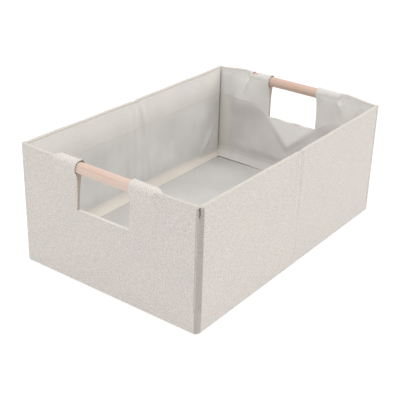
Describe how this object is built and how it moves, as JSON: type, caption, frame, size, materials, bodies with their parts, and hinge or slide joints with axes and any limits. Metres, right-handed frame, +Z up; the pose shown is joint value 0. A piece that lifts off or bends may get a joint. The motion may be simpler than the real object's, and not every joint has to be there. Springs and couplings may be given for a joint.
{
  "type": "fabric storage bin",
  "caption": "Open rectangular fabric bin with stiffened folding walls, a loose lift-out base and a wooden dowel handle over a hand hole at each end.",
  "frame": {"origin": "centre of the underside, on the surface that the bin stands on", "axes": "+X along the length towards the right end wall, +Y across the width towards the back long wall, +Z up out of the open top"},
  "size_m": [0.3904, 0.25, 0.1502],
  "materials": {
    "linen": "light greige plain weave, matt, with a fine crosshatch",
    "lining": "smooth pale grey nonwoven, slight sheen",
    "hinge_cloth": "the outer cloth where it bends between two boards, darker and matt",
    "binding": "matt bias tape",
    "board": "grey-brown millboard",
    "beech": "unvarnished pinkish beech, sanded, matt"
  },
  "bodies": {
    "root": {"bottom_cloth": "linen", "bottom_seam_binding": "binding", "left_end_cover": "linen", "left_end_board": "board", "left_end_lining": "lining", "corner_hinge_front_left": "hinge_cloth", "corner_hinge_back_left": "hinge_cloth"},
    "front_left_wall": {"front_left_cover": "linen", "front_left_board": "board", "front_left_lining": "lining", "crease_hinge_front": "hinge_cloth"},
    "front_right_wall": {"front_right_cover": "linen", "front_right_board": "board", "front_right_lining": "lining"},
    "right_end_wall": {"right_end_cover": "linen", "right_end_board": "board", "right_end_lining": "lining", "corner_hinge_front_right": "hinge_cloth", "corner_hinge_back_right": "hinge_cloth"},
    "back_left_wall": {"back_left_cover": "linen", "back_left_board": "board", "back_left_lining": "lining", "crease_hinge_back": "hinge_cloth"},
    "back_right_wall": {"back_right_cover": "linen", "back_right_board": "board", "back_right_lining": "lining"},
    "left_handle": {"left_dowel": "beech"},
    "right_handle": {"right_dowel": "beech"},
    "base_insert": {"base_board": "board", "base_cover": "lining"}
  },
  "joints": [
    {"name": "front_left_fold", "type": "hinge", "parent": "root", "child": "front_left_wall", "pos_m": [-0.185, -0.12, 0.08], "axis": [0, 0, 1], "range_deg": [0, 78]},
    {"name": "front_crease_fold", "type": "hinge", "parent": "front_left_wall", "child": "front_right_wall", "pos_m": [0, -0.125, 0.08], "axis": [0, 0, 1], "range_deg": [-117, 0]},
    {"name": "right_end_fold", "type": "hinge", "parent": "front_right_wall", "child": "right_end_wall", "pos_m": [0.185, -0.12, 0.08], "axis": [0, 0, 1], "range_deg": [0, 39]},
    {"name": "back_left_fold", "type": "hinge", "parent": "root", "child": "back_left_wall", "pos_m": [-0.185, 0.12, 0.08], "axis": [0, 0, 1], "range_deg": [-39, 0]},
    {"name": "back_crease_fold", "type": "hinge", "parent": "back_left_wall", "child": "back_right_wall", "pos_m": [0, 0.125, 0.08], "axis": [0, 0, 1], "range_deg": [0, 117]},
    {"name": "left_handle_spin", "type": "hinge", "parent": "root", "child": "left_handle", "pos_m": [-0.1875, 0, 0.1425], "axis": [0, 1, 0], "continuous": true},
    {"name": "right_handle_spin", "type": "hinge", "parent": "right_end_wall", "child": "right_handle", "pos_m": [0.1875, 0, 0.1425], "axis": [0, 1, 0], "continuous": true},
    {"name": "base_lift", "type": "slide", "parent": "root", "child": "base_insert", "axis": [0, 0, 1], "range_m": [0, 0.165]}
  ],
  "couplings": [
    {"joint": "front_crease_fold", "follows": "front_left_fold", "ratio": -1.5},
    {"joint": "right_end_fold", "follows": "front_left_fold", "ratio": 0.5},
    {"joint": "back_left_fold", "follows": "front_left_fold", "ratio": -0.5},
    {"joint": "back_crease_fold", "follows": "front_left_fold", "ratio": 1.5}
  ]
}
